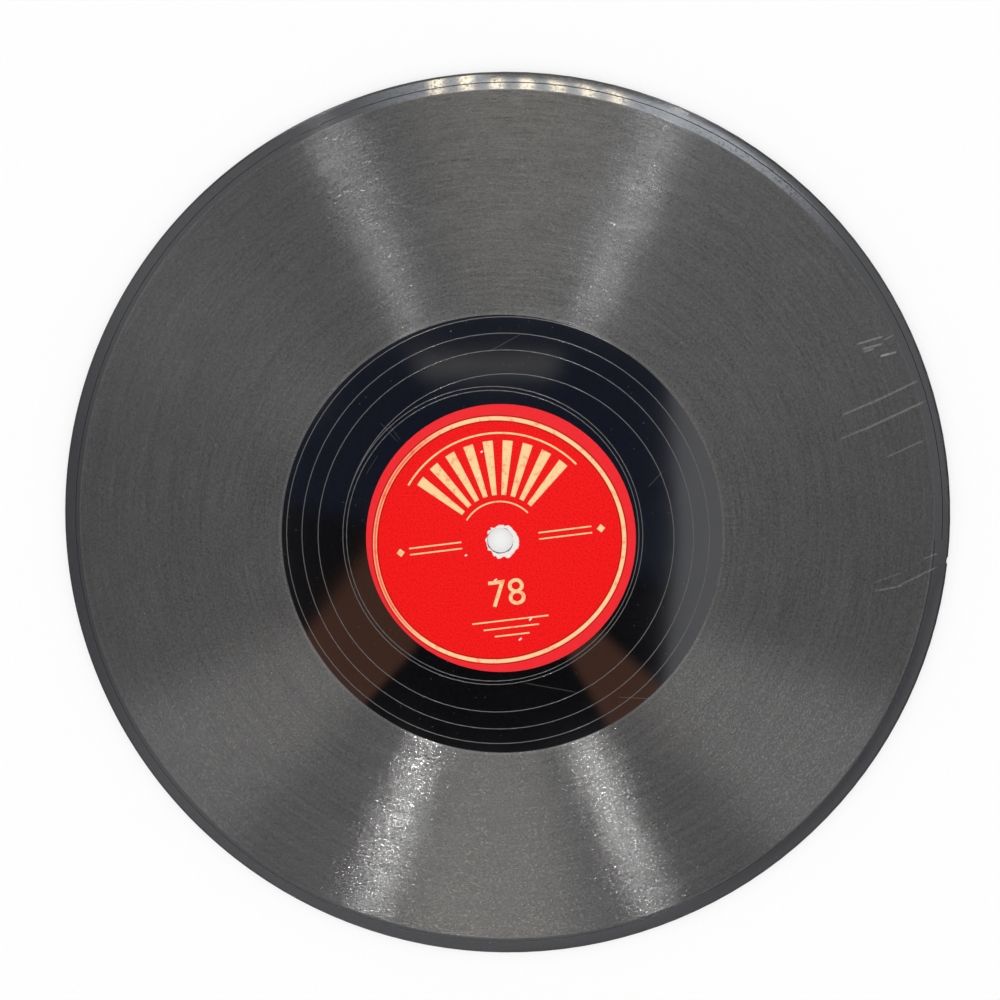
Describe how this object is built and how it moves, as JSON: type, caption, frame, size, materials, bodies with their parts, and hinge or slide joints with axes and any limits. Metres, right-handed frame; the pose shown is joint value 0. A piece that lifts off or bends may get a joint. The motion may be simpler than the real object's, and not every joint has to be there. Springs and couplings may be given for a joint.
{
  "type": "shellac record",
  "caption": "Flat round laminated shellac gramophone record with a plain red centre label, a spindle hole and eccentric run-out grooves on both sides.",
  "frame": {"origin": "spindle axis, on the plane of the underside", "axes": "+Z along the spindle axis, out of the first side, with the record lying flat; +X to the right and +Y up in the picture"},
  "size_m": [0.2508, 0.2508, 0.0021],
  "materials": {
    "core": "coarse shellac compound, ground smooth at the rim",
    "ply_paper": "kraft paper, sealed inside the laminate",
    "shellac": "fine black shellac, glossy where plain and satin where grooved",
    "label_paper": "printed label paper, pressed in flush"
  },
  "bodies": {
    "root": {"core_disc": "core", "paper_ply_a": "ply_paper", "paper_ply_b": "ply_paper", "playing_face_a": "shellac", "playing_face_b": "shellac", "label_a": "label_paper", "label_b": "label_paper"}
  },
  "joints": []
}
